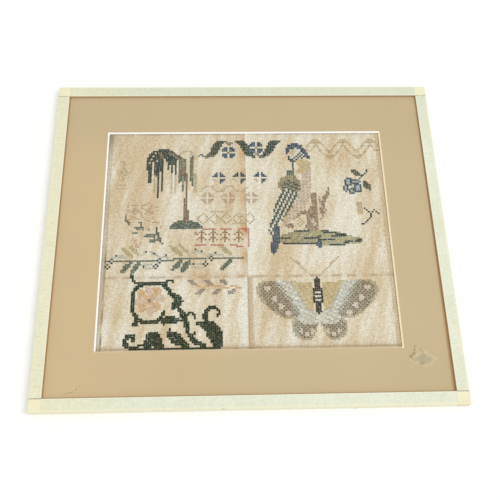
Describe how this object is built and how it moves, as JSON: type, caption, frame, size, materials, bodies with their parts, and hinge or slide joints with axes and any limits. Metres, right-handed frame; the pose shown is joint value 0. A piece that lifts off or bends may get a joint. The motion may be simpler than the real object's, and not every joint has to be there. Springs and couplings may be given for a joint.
{
  "type": "framed cross stitch sampler",
  "caption": "Framed cross stitch sampler lying face up: creased linen with stitched motifs behind a bevelled tan mat board, in a narrow cream frame.",
  "frame": {"origin": "middle of the frame's back, in the plane the rails rest on", "axes": "+X along the picture's width to its right, +Y up the picture, +Z out of its face"},
  "size_m": [0.401, 0.349, 0.01],
  "materials": {
    "frame_rail": "pale cream paint with a fine linen-like grain, yellowed at the corners",
    "mat_board": "matt tan facing, white core at the bevel",
    "linen": "aged plain-weave linen, mottled cream and tan",
    "stitch_thread": "matt wool and silk cross stitches in teal, green, blue, brown, gold and grey",
    "backing_board": "plain grey-brown board"
  },
  "bodies": {
    "root": {"rail_top": "frame_rail", "rail_bottom": "frame_rail", "rail_left": "frame_rail", "rail_right": "frame_rail", "mat_board": "mat_board", "sampler_cloth": "linen", "backing_board": "backing_board"}
  },
  "joints": []
}
